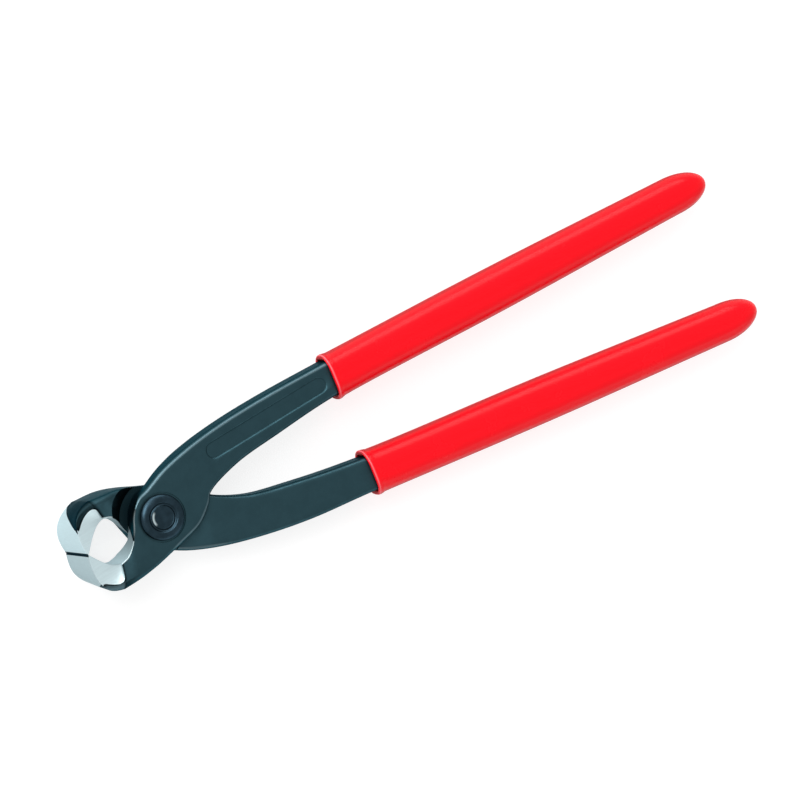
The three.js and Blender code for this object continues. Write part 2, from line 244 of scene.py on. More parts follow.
class GripSizes(bpy.types.PropertyGroup):
    """Dipped grips"""

    wall: mm("Wall", 1.4, "Thickness of the dip")
    clearance: mm("Clearance", 0.25, "Round the tang")
    tip: mm("Tip", 11.5, "Rounded end beyond the tang")
    radius: mm("Radius", 3.6, "Corner of the section")
    lip_length: mm("Lip length", 2, "Bead at the mouth")
    lip_height: mm("Lip height", 0.3, "Bead above the grip")


class RivetSizes(bpy.types.PropertyGroup):
    """Pivot rivet"""

    diameter: mm("Diameter", 9, "Shank")
    head_diameter: mm("Head diameter", 13.3, "Domed head")
    head_height: mm("Head height", 1.5, "Head above the face of the joint")
    crest_diameter: mm("Crest diameter", 9, "Highest ring of the dome")
    middle_diameter: mm("Middle diameter", 6, "Flat middle of the head")
    middle_depth: mm("Middle depth", 0.25, "Flat middle below the highest ring")
    groove_depth: mm("Groove depth", 0.5, "Groove round the middle, below the highest ring")
    seat_diameter: mm("Seat diameter", 14.5, "Shallow seat under the head")
    seat_depth: mm("Seat depth", 0.35, "Shallow seat under the head")
    clearance: mm("Clearance", 0.25, "Round the shank and under the heads")


class FinishColours(bpy.types.PropertyGroup):
    """Colours of the finishes"""

    steel: colour("Blackened steel", (0.040, 0.092, 0.112), "Forged and blackened faces")
    # Lighter colour of the edge lines: wear, and painted sheen
    worn_steel_sheen: colour("Worn steel and sheen", (0.30, 0.40, 0.44), "Edge wear and sheen of the forging")
    ground: colour("Ground steel", (0.77, 0.94, 0.98), "Bright ground faces of the jaws")
    rivet: colour("Rivet", (0.034, 0.064, 0.086), "Blackened rivet")
    tint: colour("Steel tint", (0.32, 0.44, 0.48), "Blackened steel at glancing angles")
    red: colour("Red dip", (0.95, 0.002, 0.010), "Dipped grips")
    # Painted highlight on the crests of the grips' lips
    lip_highlight_red: colour("Lip highlight red", (0.95, 0.16, 0.19), "Crests of the grips' lips")
    floor: colour("Floor", (0.32, 0.32, 0.32), "Pale floor")


GROUPS = {
    "nippers_jaw": JawSizes,
    "nippers_joint": JointSizes,
    "nippers_handle": HandleSizes,
    "nippers_panel": PanelSizes,
    "nippers_grip": GripSizes,
    "nippers_rivet": RivetSizes,
    "nippers_finish": FinishColours,
}


def sizes(name):
    """One of the scene's groups of sizes or colours."""
    return getattr(bpy.context.scene, "nippers_" + name)


# Outlines of a lever


def mix(a, b, share):
    return a + (b - a) * share


def clamp(value):
    return min(max(value, 0), 1)


def shares(steps, first=1):
    """Even steps up to 1, or from 0 if first is 0."""
    return [i / steps for i in range(first, steps + 1)]


def ease(low, high, value):
    """0 below low, 1 above high, smooth between."""
    share = clamp((value - low) / (high - low))
    return share * share * (3 - 2 * share)


def half_thickness(x):
    """Half thickness along the handle, an even taper from the fork to the mouth of the grip."""
    joint = sizes("joint")
    along = (x - joint.crotch) / (NECK_LENGTH - joint.crotch)
    return mix(joint.thickness, sizes("handle").neck_thickness, clamp(along)) / 2


def lap_lift(x):
    """How much thinner the handle is on its lap side: an even taper to the grip, steeper at the disc."""
    joint = sizes("joint")
    taper = joint.lift * (1 - clamp(x / NECK_LENGTH))
    return taper + joint.heel_lift * (1 - clamp(x / joint.heel_reach))


def rim(x, y, half=None):
    """A point of a lever's rim: plan position and half thickness there."""
    return Vector((x, y, half_thickness(x) if half is None else half))


def on_disc(radius, degrees):
    """A point of the rim round the joint."""
    angle = math.radians(degrees)
    half_joint = sizes("joint").thickness / 2
    return rim(radius * math.cos(angle), radius * math.sin(angle), half_joint)


def nose_point(step, fullness=NOSE_FULLNESS, crest_set=0.0):
    """A point of the nose's outline: a quarter oval to the foremost point, then a curve to the edge."""
    jaw = sizes("jaw")
    power = 2 / fullness
    crest = jaw.crest - crest_set
    start = math.asin(((jaw.facet_start - crest) / (NOSE_REACH - crest)) ** (1 / power))
    angle = mix(start, math.pi / 2, min(step / NOSE_STEPS, 1))
    reach = mix(crest, NOSE_REACH, math.sin(angle) ** power)
    level = mix(jaw.nose_level, jaw.height, max(math.cos(angle), 0) ** power)
    past = max(0, (step - NOSE_STEPS) / EDGE_STEPS)
    set_back = (NOSE_REACH - jaw.reach) * past * past
    return rim(set_back - reach, (jaw.nose_level - jaw.gap / 2) * past - level, HALF_JAW)


def tang_points(way):
    """The handle from the end of its tang to the mouth of the grip; way is 1 on its outer side, -1 inside."""
    handle = sizes("handle")
    tang_end = TIP_REACH - sizes("grip").tip
    tip = handle.tip_offset + way * handle.tang_width / 2
    middle = handle.middle_offset + way * handle.middle_width / 2
    return [
        rim(tang_end, tip, handle.tang_thickness / 2),
        rim((NECK_LENGTH + tang_end) / 2, middle, handle.middle_thickness / 2),
        rim(NECK_LENGTH, handle.neck_offset + way * handle.neck_width / 2),
    ]


def back_points(side):
    """Outer side of the handle, throat side of the disc, roof of the throat."""
    jaw = sizes("jaw")
    joint = sizes("joint")
    sway = side * joint.sway
    half_throat = jaw.throat_thickness / 2
    return [
        *tang_points(1),
        rim(NECK_FAR, OUTER_FAR - sway),
        rim(NECK_NEAR, OUTER_NEAR - sway),
        rim(NECK_ROOT, OUTER_ROOT - sway),
        rim(SHOULDER, OUTER_SHOULDER - sway),
        on_disc(joint.disc_radius - 0.7 * MM - sway, 97),
        on_disc(joint.disc_radius - 1.1 * MM - sway, 119),
        on_disc(joint.disc_front - 0.3 * MM - sway, 151),
        on_disc(joint.disc_front + 0.3 * MM - sway, 180),
        on_disc(joint.disc_front + 2.6 * MM, 197.5),
        rim(2.6 * MM - jaw.throat_crest, 0.9 * MM - jaw.throat_height, half_throat - 0.4 * MM),
        rim(-jaw.throat_crest, -jaw.throat_height, half_throat),
    ]


def front_points(side):
    """Inner side of the handle, fork, far side of the disc, outside of the jaw."""
    joint = sizes("joint")
    sway = side * joint.sway
    half_joint = joint.thickness / 2
    return [
        *tang_points(-1),
        rim(NECK_FAR, INNER_FAR - sway),
        rim(NECK_NEAR, INNER_NEAR - sway),
        rim(joint.crotch, FORK_LEVEL),
        on_disc(joint.disc_radius + 4.3 * MM + sway, -9),
        on_disc(joint.disc_radius + 1.4 * MM + sway, -33),
        on_disc(joint.disc_radius - 0.9 * MM + sway, -68),
        on_disc(joint.disc_radius + 0.1 * MM + sway, -97),
        rim(-6 * MM, -12 * MM - sway / 2, half_joint + 0.2 * MM),
        rim(-10 * MM, -12.9 * MM, half_joint + 1.2 * MM),
        rim(-14 * MM, -13.3 * MM, half_joint + 3 * MM),
        nose_point(0) - Vector((0, 0, FLARE)),
    ]


def smooth_row(points):
    """Samples of a smooth curve through the points, the same number between each two."""
    padded = [2 * points[0] - points[1], *points, 2 * points[-1] - points[-2]]
    row = [points[0].copy()]
    for before, start, end, after in zip(padded, padded[1:], padded[2:], padded[3:]):
        d0 = math.sqrt((start - before).length)
        d1 = math.sqrt((end - start).length)
        d2 = math.sqrt((after - end).length)
        leave = (start - before) * (d1 / d0) - (end - before) * (d1 / (d0 + d1)) + (end - start)
        arrive = (end - start) - (after - start) * (d1 / (d1 + d2)) + (after - end) * (d1 / d2)
        bend = 3 * (end - start) - 2 * leave - arrive
        twist = 2 * (start - end) + leave + arrive
        for t in shares(SPAN_STEPS):
            row.append(start + (leave + (bend + twist * t) * t) * t)
    return row


def jaw_rows():
    """Rims of the ground jaw: a quarter wave up the throat, and the nose's outline."""
    jaw = sizes("jaw")
    run = jaw.reach - jaw.land - jaw.throat_crest
    drop = jaw.throat_height - jaw.gap / 2
    back = []
    front = []
    for i in range(JAW_STEPS + 1):
        share = i / JAW_STEPS
        sunk = jaw.facet_step * (1 - ease(0, 0.6, share))
        fall = drop * math.cos(share * math.pi / 2)
        back.append(rim(-jaw.throat_crest - run * share, -jaw.gap / 2 - fall,
                        mix(jaw.throat_thickness / 2, HALF_JAW, share) - sunk))
        front.append(nose_point(i) - Vector((0, 0, sunk + FLARE * (1 - ease(0, 0.4, share)))))
    for row in (back, front):
        row[0].x -= STEP_RUN
    return back, front


def corner_radii(station, ground_share):
    """Corner radii of a section: rounded on the handle, crisper in the throat, sharp on the ground jaw."""
    handle = sizes("handle")
    if ground_share > 0:
        return handle.sharp_radius, mix(handle.crest_radius, handle.sharp_radius, ease(0, 0.5, ground_share))
    return (mix(handle.edge_radius, handle.throat_radius, ease(JAW_SPANS - 6, JAW_SPANS - 4, station)),
            mix(handle.edge_radius, handle.crest_radius, ease(JAW_SPANS - 2, JAW_SPANS, station)))


def section_ring(back, front, radii, grow=0.0, on_handle=0.0):
    """Closed ring round one section of a bar, from its back rim to its front rim, with rounded corners."""
    across = (front - back).to_2d()
    width = across.length
    across /= width
    limit = min(width / 2.2, back.z)
    r_back = min(radii[0], limit) + grow
    r_front = min(radii[1], limit) + grow
    corners = (
        (r_back, r_back - grow, back.z + grow - r_back, 180),
        (r_front, width + grow - r_front, front.z + grow - r_front, 90),
        (r_front, width + grow - r_front, r_front - front.z - grow + on_handle * lap_lift(front.x), 0),
        (r_back, r_back - grow, r_back - back.z - grow + on_handle * lap_lift(back.x), -90),
    )
    arcs = []
    for radius, along, z, start in corners:
        arc = []
        for share in shares(CORNER_STEPS, 0):
            angle = math.radians(start - 90 * share)
            place = back.to_2d() + across * (along + radius * math.cos(angle))
            arc.append(Vector((place.x, place.y, z + radius * math.sin(angle))))
        arcs.append(arc)
    ring = []
    for arc, following, steps in zip(arcs, arcs[1:] + arcs[:1], (FACE_STEPS, WALL_STEPS) * 2):
        ring += arc
        ring += [arc[-1].lerp(following[0], i / steps) for i in range(1, steps)]
    return ring


# Modelling steps

# Numbers on each lever's face corners: depth in the ground zones, which between -0.9 and 0 also sets painted
# shade, and the painted light and shade on the ground steel
ZONES = ("ground", "shade")


def start_disc(name, count):
    """A flat disc in edit mode, all selected, to be drawn out further."""
    bpy.ops.object.select_all(action="DESELECT")
    bpy.ops.mesh.primitive_circle_add(vertices=count, radius=MM, fill_type="NGON")
    piece = bpy.context.active_object
    piece.name = name
    piece.data.name = name
    bpy.ops.object.mode_set(mode="EDIT")
    bpy.ops.mesh.select_all(action="SELECT")
    return piece


def extrude_rings(name, rings, numbered=False):
    """A closed bar drawn out ring by ring; numbered, each vertex keeps its station and place."""
    piece = start_disc(name, len(rings[0]))
    mesh = bmesh.from_edit_mesh(piece.data)
    mesh.verts.layers.int.new("station")
    place = mesh.verts.layers.int.new("place")
    for i, vert in enumerate(mesh.verts):
        vert[place] = i
        vert.co = rings[0][i]
    for number, ring in enumerate(rings[1:], 1):
        bpy.ops.mesh.extrude_region_move()
        mesh = bmesh.from_edit_mesh(piece.data)
        station = mesh.verts.layers.int["station"]
        place = mesh.verts.layers.int["place"]
        for vert in mesh.verts:
            if vert.select:
                vert[station] = number
                vert.co = ring[vert[place]]
    close_up(piece)
    if not numbered:
        drop_numbers(piece)
    return piece


def drop_numbers(piece):
    for name in ("station", "place"):
        piece.data.attributes.remove(piece.data.attributes[name])


def close_up(piece):
    """Merges doubled points, turns the faces outwards and leaves edit mode; the piece has to be closed."""
    bpy.ops.mesh.select_all(action="SELECT")
    bpy.ops.mesh.remove_doubles(threshold=MERGE_DISTANCE)
    bpy.ops.mesh.normals_make_consistent(inside=False)
    bpy.ops.object.mode_set(mode="OBJECT")
    mesh = bmesh.new()
    mesh.from_mesh(piece.data)
    open_edges = sum(not edge.is_manifold for edge in mesh.edges)
    mesh.free()
    if open_edges:
        raise RuntimeError(f"{piece.name} has {open_edges} open edges")


def make_active(piece):
    bpy.ops.object.select_all(action="DESELECT")
    piece.select_set(True)
    bpy.context.view_layer.objects.active = piece


def cut(piece, cutter, jaw_shade_depth=-1.0):
    """Takes the cutter's shape out of the piece and removes the cutter.

    The cut faces are forged skin; the last argument is their depth in the ground zones in front of the pivot,
    which above -0.9 paints shade on them.
    """
    xs = [cutter.data.vertices[loop.vertex_index].co.x for loop in cutter.data.loops]
    for name in ZONES:
        give_values(cutter, name, "CORNER", [jaw_shade_depth if x < 0 else -1.0 for x in xs])
    give_values(cutter, "edge", "CORNER", [0.0] * len(xs))
    make_active(piece)
    bpy.ops.object.modifier_add(type="BOOLEAN")
    step = piece.modifiers[-1]
    step.operation = "DIFFERENCE"
    step.solver = "EXACT"
    step.object = cutter
    bpy.ops.object.modifier_apply(modifier=step.name)
    bpy.data.meshes.remove(cutter.data)


def place_piece(piece, node, body, material, turned=False):
    """Turns a rear piece over, sets the piece on the pivot, hides its node, ties it to its body and gives it
    its slot.
    """
    make_active(piece)
    piece.rotation_euler = (math.pi if turned else 0, 0, 0)
    piece.location = PIVOT
    bpy.ops.object.transform_apply(location=True, rotation=True, scale=True)
    bpy.ops.object.shade_smooth_by_angle(angle=SMOOTH_ANGLE)
    piece.data.materials.clear()
    piece.data.materials.append(material)
    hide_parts(node)
    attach(piece, body)


def copy_piece(piece, name):
    """A copy with a mesh of its own."""
    twin = piece.copy()
    twin.data = piece.data.copy()
    twin.name = name
    twin.data.name = name
    bpy.context.collection.objects.link(twin)
    return twin


def give_values(piece, name, domain, values):
    """Stores a number on each vertex or face corner for the materials to read."""
    piece.data.attributes.new(name, "FLOAT", domain).data.foreach_set("value", values)


def face_share(place):
    """1 on the two faces of a section, 0 on its walls, between on its rounded corners."""
    turn = place % HALF_RING
    return clamp(min(turn, WALL_START - turn) / CORNER_STEPS)


def ring_numbers(piece):
    """The station and the place in its ring that each vertex was given."""
    return [[number.value for number in piece.data.attributes[name].data] for name in ("station", "place")]


def mark_wear_sheen_and_wall_shade(piece, jaw_start, side):
    """Marks light lines beside the rounded edges, part wear and part painted sheen, and a painted highlight
    along the front jaw's rim; below 0 it marks painted shade on the walls.

    The lines end on the disc. They are faint on the rear lever's neck and on the front one's fork side.
    """
    lines_end = jaw_start - 4 * SPAN_STEPS
    neck_end = 5.5 * SPAN_STEPS
    faint = 0.2
    fork_start = CORNER_STEPS + FACE_STEPS / 2
    rim_width = 5
    line_place = 0.7
    line_width = 0.3
    values = []
    for station, place in zip(*ring_numbers(piece)):
        share = face_share(place)
        fade = 1 - ease(lines_end - SPAN_STEPS, lines_end, station)
        if side < 0 or fork_start < place < fork_start + HALF_RING:
            fade *= mix(faint, 1, ease(neck_end - SPAN_STEPS, neck_end, station))
        line = fade * max(1 - abs(share - line_place) / line_width, 0)
        # Painted highlight on the front jaw's rounded rim
        if side > 0 and FACE_END - rim_width <= place <= WALL_START and station > jaw_start:
            line = 1
        # Walls go below 0: painted shade
        values.append(line - (1 - ease(0.1, 0.6, share)))
    give_values(piece, "edge", "CORNER", [values[loop.vertex_index] for loop in piece.data.loops])


# Levers


def plan_reach(outline, angle, limit):
    """Distance from the pivot to the edge of a lever's plan outline, in one direction."""
    cos = math.cos(angle)
    sin = math.sin(angle)
    nearest = limit
    for p, q in zip(outline, outline[1:] + outline[:1]):
        side_p = p.y * cos - p.x * sin
        side_q = q.y * cos - q.x * sin
        if (side_p > 0) == (side_q > 0):
            continue
        crossing = p.lerp(q, side_p / (side_p - side_q))
        reach = crossing.x * cos + crossing.y * sin
        if reach > 0:
            nearest = min(nearest, reach)
    return nearest


def recess_cutter(back, front):
    """All that the other lever's half of the joint sweeps over, with a sloped wall towards the jaw."""
    joint = sizes("joint")
    outline = back + front[::-1]
    step = 2 * math.pi / RECESS_STEPS
    swing = math.ceil(OPENING / step)
    reaches = [plan_reach(outline, -i * step, joint.recess_reach) for i in range(RECESS_STEPS)]
    top = joint.lap_gap / 2
    lean = (joint.ramp_top - joint.ramp_foot) / (joint.thickness / 2 + top)
    rings = []
    for sunk in (0, 2 * HALF_JAW):
        wall = joint.ramp_foot + lean * sunk
        ring = []
        for i in range(RECESS_STEPS):
            reach = max(reaches[(i + turn) % RECESS_STEPS] for turn in range(swing + 1)) + joint.clearance
            x = math.cos(i * step)
            if x < 0:
                reach = max(reach, wall)
            ring.append(Vector((reach * x, reach * math.sin(i * step), top - sunk)))
        rings.append(ring)
    return extrude_rings("recess", rings)


def round_cutter(name, radius, low, high):
    """A round bar about the pivot."""
    rings = []
    for z in (low, high):
        angles = [2 * math.pi * share for share in shares(ROUND_STEPS)]
        rings.append([Vector((radius * math.cos(angle), radius * math.sin(angle), z)) for angle in angles])
    return extrude_rings(name, rings)


def panel_cutter():
    """Rounded panel sunk in the front of the neck, with sloped walls and a softened rim."""
    panel = sizes("panel")
    end = panel.start + panel.length
    fall = half_thickness(panel.start) - half_thickness(end)
    lie = Matrix.Translation(((panel.start + end) / 2, (panel.near_offset + panel.far_offset) / 2,
                              half_thickness((panel.start + end) / 2)))
    lie @= Matrix.Rotation(math.atan2(panel.far_offset - panel.near_offset, panel.length), 4, "Z")
    lie @= Matrix.Rotation(math.atan2(fall, panel.length), 4, "Y")
    half_run = (panel.length - panel.width) / 2
    turns = 16
    rings = []
    for inset, height in ((0.9, -1.0), (0.3, -0.3), (-0.3, 0.0), (-0.9, 0.2)):
        radius = panel.width / 2 - inset * panel.depth
        ring = []
        for side in (1, -1):
            for share in shares(turns, 0):
                angle = math.pi * (share - 0.5)
                point = Vector((half_run + radius * math.cos(angle), radius * math.sin(angle), 0)) * side
                point.z = height * panel.depth
                ring.append(lie @ point)
        rings.append(ring)
    return extrude_rings("panel", rings)


def mark_ground(piece, front, side):
    """Gives each face corner its depth in millimetres in the ground zones, which below 0 also sets painted
    shade, and the painted light and shade of the ground steel there.
    """
    jaw = sizes("jaw")
    half_joint = sizes("joint").thickness / 2
    zone = FRONT_ZONE if side > 0 else REAR_ZONE
    jaw_start = JAW_SPANS * SPAN_STEPS
    inner = Vector((-jaw.throat_crest, -jaw.throat_height))
    outer = nose_point(0).to_2d()
    towards_nose = Vector((outer.y - inner.y, inner.x - outer.x)).normalized()
    disc_line_start = 8.5 * SPAN_STEPS
    disc_line_end = 10.6 * SPAN_STEPS
    ground_spans = 3
    throat_spans = 5
    throat_shade = 0.31
    tip_shade = 0.85
    shade_run = 3 * SPAN_STEPS
    mesh = piece.data
    stations, places = ring_numbers(piece)

    def border(z):
        """Height up to which the nose is ground, lower at the front rim."""
        slope = 0.22
        forward = side * z / MM
        return (zone.top - slope * forward - zone.bend * max(forward, 0) ** 2) * MM

    def shade_depth(point, beside_nose):
        """Least depth beside the ground zones, where painted shade darkens the forged skin most."""
        along = (point.to_2d() - inner).dot(towards_nose)
        beside_neck = zone.shade_depth + ease(0, zone.shade_reach * MM, -along)
        return -mix(beside_neck, beside_nose, ease(0, MM, along)) * MM

    def facet_depth(point, station):
        """Depth in the facet, inside a strip of skin along the rim, with a rounded corner."""
        rim_strip = 2.4 * MM
        rounding = 2.6 * MM
        along = (point.to_2d() - inner).dot(towards_nose)
        rim_border = border(math.copysign(HALF_JAW, point.z))
        strip = rim_strip * max((-point.y - rim_border) / (-outer.y - rim_border), 0) ** 0.6
        inside = (point - front[station]).to_2d().length - strip
        share = max(rounding - abs(along - inside), 0) / rounding
        return max(min(along, inside) - share * share * rounding / 4, shade_depth(point, zone.rim_depth))

    def nose_depth(point, beside_nose):
        """Depth on the nose, between its border and the band of painted shade at the cutting edge."""
        return max(min(border(point.z) + point.y, -EDGE_SHADE - point.y), shade_depth(point, beside_nose))

    def throat_depth(point):
        """Depth on the throat side of the disc, ground further up at the lap than at the face."""
        lap_level = 1.3 * MM
        face_level = -2.8 * MM
        return mix(lap_level, face_level, min(abs(point.z) / half_joint, 1)) - point.y

    def disc_line_depth(station):
        """Depth on a thin bright line along the edge of the disc, fullest halfway."""
        fullest = 0.03
        share = (station - disc_line_start) / (disc_line_end - disc_line_start)
        return mix(BRIGHT_START, fullest, math.sin(share * math.pi)) * MM

    depths = {name: [-1.0] * len(mesh.loops) for name in ZONES}
    for face in mesh.polygons:
        ring_places = [places[i] for i in face.vertices]
        first = min(ring_places)
        if max(ring_places) - first > HALF_RING:
            first = max(ring_places)
        is_cap = len(face.vertices) > 4
        on_corner = first < CORNER_STEPS
        on_wall = FACE_END <= first < HALF_RING + CORNER_STEPS
        on_face = CORNER_STEPS <= first < HALF_RING + FACE_END and not on_wall
        skin_end = jaw_start - (ground_spans if on_wall or on_face else throat_spans) * SPAN_STEPS
        beside_nose = zone.wall_depth if WALL_START <= first < HALF_RING else zone.rim_depth
        for loop in face.loop_indices:
            vertex = mesh.loops[loop].vertex_index
            point = mesh.vertices[vertex].co
            station = stations[vertex]
            if is_cap:
                depth = -MM
            elif on_corner and disc_line_start < station < disc_line_end:
                depth = disc_line_depth(station)
            elif station < skin_end:
                depth = -MM
            elif on_wall:
                depth = nose_depth(point, beside_nose)
            elif on_face:
                depth = facet_depth(point, station)
            elif station < jaw_start:
                depth = throat_depth(point)
            else:
                depth = MM
            depths["ground"][loop] = depth / MM
            # Painted light and shade on the ground steel: full on the facets, less on the nose, least in the
            # throat
            if on_wall:
                shade = zone.nose_shade
            elif on_face:
                shade = 1
            else:
                shade = mix(throat_shade, tip_shade, ease(jaw_start - shade_run, jaw_start, station))
            depths["shade"][loop] = shade
    for name in ZONES:
        give_values(piece, name, "CORNER", depths[name])


def lean_nose(ring, station, jaw_start, back, front, side):
    """Makes a section of the jaw fuller towards the front of the tool and leaner towards its rear."""
    step = max(station - jaw_start, 0)
    fade = ease(-LEAN_STATIONS, 0, station - jaw_start)
    full = nose_point(step, FRONT_FULLNESS) - nose_point(step)
    lean = nose_point(step, REAR_FULLNESS, REAR_SET) - nose_point(step)
    across = (front - back).to_2d()
    for point in ring:
        out = (point - back).to_2d().dot(across) / across.length_squared
        forward = side * point.z / HALF_JAW
        shift = full * forward if forward > 0 else lean * -forward
        point += Vector((shift.x, shift.y, 0)) * fade * clamp(out) ** 2


def lever_rows(side):
    """Both rims of a lever, from the end of its tang to its cutting edge."""
    jaw_back, jaw_front = jaw_rows()
    return smooth_row(back_points(side)) + jaw_back, smooth_row(front_points(side)) + jaw_front


def forge_lever(name, side):
    """One lever in its own frame; side is 1 for the front lever and -1 for the rear one."""
    rivet = sizes("rivet")
    thickness = sizes("joint").thickness
    back, front = lever_rows(side)
    jaw_start = len(back) - JAW_STEPS - 1
    rings = []
    for i, (b, f) in enumerate(zip(back, front)):
        radii = corner_radii(i / SPAN_STEPS, (i - jaw_start) / JAW_STEPS)
        ring = section_ring(b, f, radii, on_handle=clamp(HANDLE_SPANS + 1 - i / SPAN_STEPS))
        if i > jaw_start - LEAN_STATIONS:
            lean_nose(ring, i, jaw_start, b, f, side)
        rings.append(ring)
    lever = extrude_rings(name, rings, numbered=True)
    mark_ground(lever, front, side)
    mark_wear_sheen_and_wall_shade(lever, jaw_start, side)
    drop_numbers(lever)
    # Painted shade on the recess's faces in front of the pivot
    cut(lever, recess_cutter(*lever_rows(-side)), jaw_shade_depth=-0.5)
    cut(lever, round_cutter("hole", rivet.diameter / 2 + rivet.clearance, -thickness, thickness))
    cut(lever, round_cutter("seat", rivet.seat_diameter / 2, thickness / 2 - rivet.seat_depth, thickness))
    cut(lever, panel_cutter())
    make_active(lever)
    bpy.ops.object.mode_set(mode="EDIT")
    close_up(lever)
    return lever


# Grips


def dip_grip():
    """One grip in its own frame: bore, rolled lip at the mouth, sleeve and rounded tip."""
    handle = sizes("handle")
    grip = sizes("grip")
    back, front = (smooth_row(points(0)[:4])[2 * SPAN_STEPS::-1] for points in (back_points, front_points))
    bore = (handle.edge_radius,) * 2
    skin = (grip.radius,) * 2
    outside = grip.wall + grip.clearance

    def between(reach):
        """Rims at a distance from the mouth."""
        for i in range(1, len(back)):
            if back[i].x >= NECK_LENGTH + reach or i == len(back) - 1:
                share = (NECK_LENGTH + reach - back[i - 1].x) / (back[i].x - back[i - 1].x)
                return back[i - 1].lerp(back[i], share), front[i - 1].lerp(front[i], share)

    pairs = list(zip(back, front))
    bottom = [point + Vector((grip.clearance, 0, 0)) for point in pairs[-1]]
    rings = [section_ring(*bottom, bore, grip.clearance)]
    for pair in pairs[:0:-1]:
        rings.append(section_ring(*pair, bore, grip.clearance))
    bead = (outside + grip.lip_height - grip.clearance) / 2
    bead_steps = 12
    crest_step = 10
    bead_crest = len(rings) + crest_step
    for share in shares(bead_steps, 0):
        angle = math.pi * share
        radii = (mix(handle.edge_radius, grip.radius, share),) * 2
        grow = grip.clearance + bead * (1 - math.cos(angle))
        rings.append(section_ring(*between(bead * (1 - math.sin(angle))), radii, grow))
    lip_steps = 8
    for share in shares(lip_steps):
        grow = outside + grip.lip_height * (1 - ease(0, 1, share))
        rings.append(section_ring(*between(bead + grip.lip_length * share), skin, grow))
    for pair in pairs[1:]:
        rings.append(section_ring(*pair, skin, outside))
    end = rings[-1]
    centre = sum(end, Vector()) / len(end)
    tip_steps = 16
    tip_flat = 0.02
    tip_margin = 0.01 * MM
    for share in shares(tip_steps):
        angle = share * math.pi / 2
        scale = max(math.cos(angle), tip_flat)
        ring = [centre + (point - centre) * scale for point in end]
        for point in ring:
            point.x = centre.x + (grip.tip - tip_margin) * math.sin(angle)
        rings.append(ring)
    piece = extrude_rings("front_grip_dip", rings, numbered=True)
    mark_grip(piece, bead_crest)
    drop_numbers(piece)
    return piece


def mark_grip(piece, bead_crest):
    """Marks the sides of the grip, where painted shade deepens the red, and the crest of its lip, a painted
    highlight.
    """
    crest_width = 1.5
    stations, places = ring_numbers(piece)
    # Painted shade on the sides of the grip
    painted_side_shade = [1 - ease(0.1, 0.5, face_share(place)) for place in places]
    # Painted highlight along the crest of the lip
    bead = [max(1 - abs(station - bead_crest) / crest_width, 0) for station in stations]
    give_values(piece, "painted_side_shade", "POINT", painted_side_shade)
    give_values(piece, "bead", "POINT", bead)


# Rivet


def rivet_profile():
    """Half section of the rivet from its lower centre to its upper centre: radius and height."""
    rivet = sizes("rivet")
    half_joint = sizes("joint").thickness / 2
    head = rivet.head_diameter / 2
    crest = rivet.crest_diameter / 2
    seat = half_joint + rivet.clearance
    top = half_joint + rivet.head_height
    middle = rivet.middle_diameter / 2
    groove = (crest + middle) / 2
    rim_width = 0.4 * MM
    rim_height = 0.15 * MM
    upper = [(rivet.diameter / 2, seat), (head - rim_width, seat)]
    steps = 12
    for share in shares(steps, 0):
        angle = share * math.pi / 2
        upper.append((mix(crest, head, math.cos(angle)), mix(seat + rim_height, top, math.sin(angle))))
    for i in range(1, 2 * steps + 1):
        share = i / steps
        sunk = rivet.groove_depth * math.sin(share * math.pi / 2) ** 2
        upper.append((mix(crest, groove, share), top - max(sunk, rivet.middle_depth * ease(1, 2, share))))
    for share in shares(steps):
        upper.append((middle * (1 - share), top - rivet.middle_depth))
    lower = [(radius, -z) for radius, z in reversed(upper)]
    return [Vector((radius, 0, z)) for radius, z in lower + upper]


def spin_rivet():
    """The rivet in its own frame, its half section spun about the pivot axis."""
    profile = rivet_profile()
    piece = start_disc("pivot_rivet_head", len(profile))
    mesh = bmesh.from_edit_mesh(piece.data)
    for vert, co in zip(mesh.verts, profile):
        vert.co = co
    bpy.ops.mesh.delete(type="ONLY_FACE")
    mesh = bmesh.from_edit_mesh(piece.data)
    mesh.verts.ensure_lookup_table()
    bpy.ops.mesh.select_all(action="DESELECT")
    mesh.verts[0].select_set(True)
    mesh.verts[-1].select_set(True)
    mesh.select_flush(True)
    bmesh.update_edit_mesh(piece.data)
    bpy.ops.mesh.delete(type="EDGE")
    bpy.ops.mesh.select_all(action="SELECT")
    bpy.ops.mesh.spin(steps=ROUND_STEPS, angle=2 * math.pi, center=(0, 0, 0), axis=(0, 0, 1))
    close_up(piece)
    mark_bare_glint(piece)
    return piece


def mark_bare_glint(piece):
    """Marks a crescent of bright metal on one side of the head's middle, a painted glint."""
    ring = sizes("rivet").middle_diameter / 2
    towards = Vector((-0.95, 0.2)).normalized()
    full_width = 0.12 * MM
    faded_width = 0.4 * MM
    bare_glint = []
    for vert in piece.data.vertices:
        place = vert.co.to_2d()
        near = 1 - ease(full_width, faded_width, abs(place.length - ring))
        bare_glint.append(near * ease(0.72, 0.92, place.normalized().dot(towards)))
    give_values(piece, "bare_glint", "POINT", bare_glint)


# Materials


def fill(tree, node, inputs):
    """Fills a node's inputs with values or with the outputs of other nodes."""
    for name, value in inputs.items():
        if isinstance(value, bpy.types.NodeSocket):
            tree.links.new(value, node.inputs[name])
        else:
            node.inputs[name].default_value = value


def feed(tree, kind, inputs, **settings):
    """Adds a node, sets it up and fills its inputs."""
    node = tree.nodes.new("ShaderNode" + kind)
    for name, value in settings.items():
        setattr(node, name, value)
    fill(tree, node, inputs)
    return node


def stored(tree, name):
    """A number that the mesh stores."""
    return feed(tree, "Attribute", {}, attribute_name=name).outputs["Fac"]


def blend_colours(tree, share, first, second, way="MIX"):
    inputs = {0: share, 6: first, 7: second}
    return feed(tree, "Mix", inputs, data_type="RGBA", blend_type=way).outputs[2]


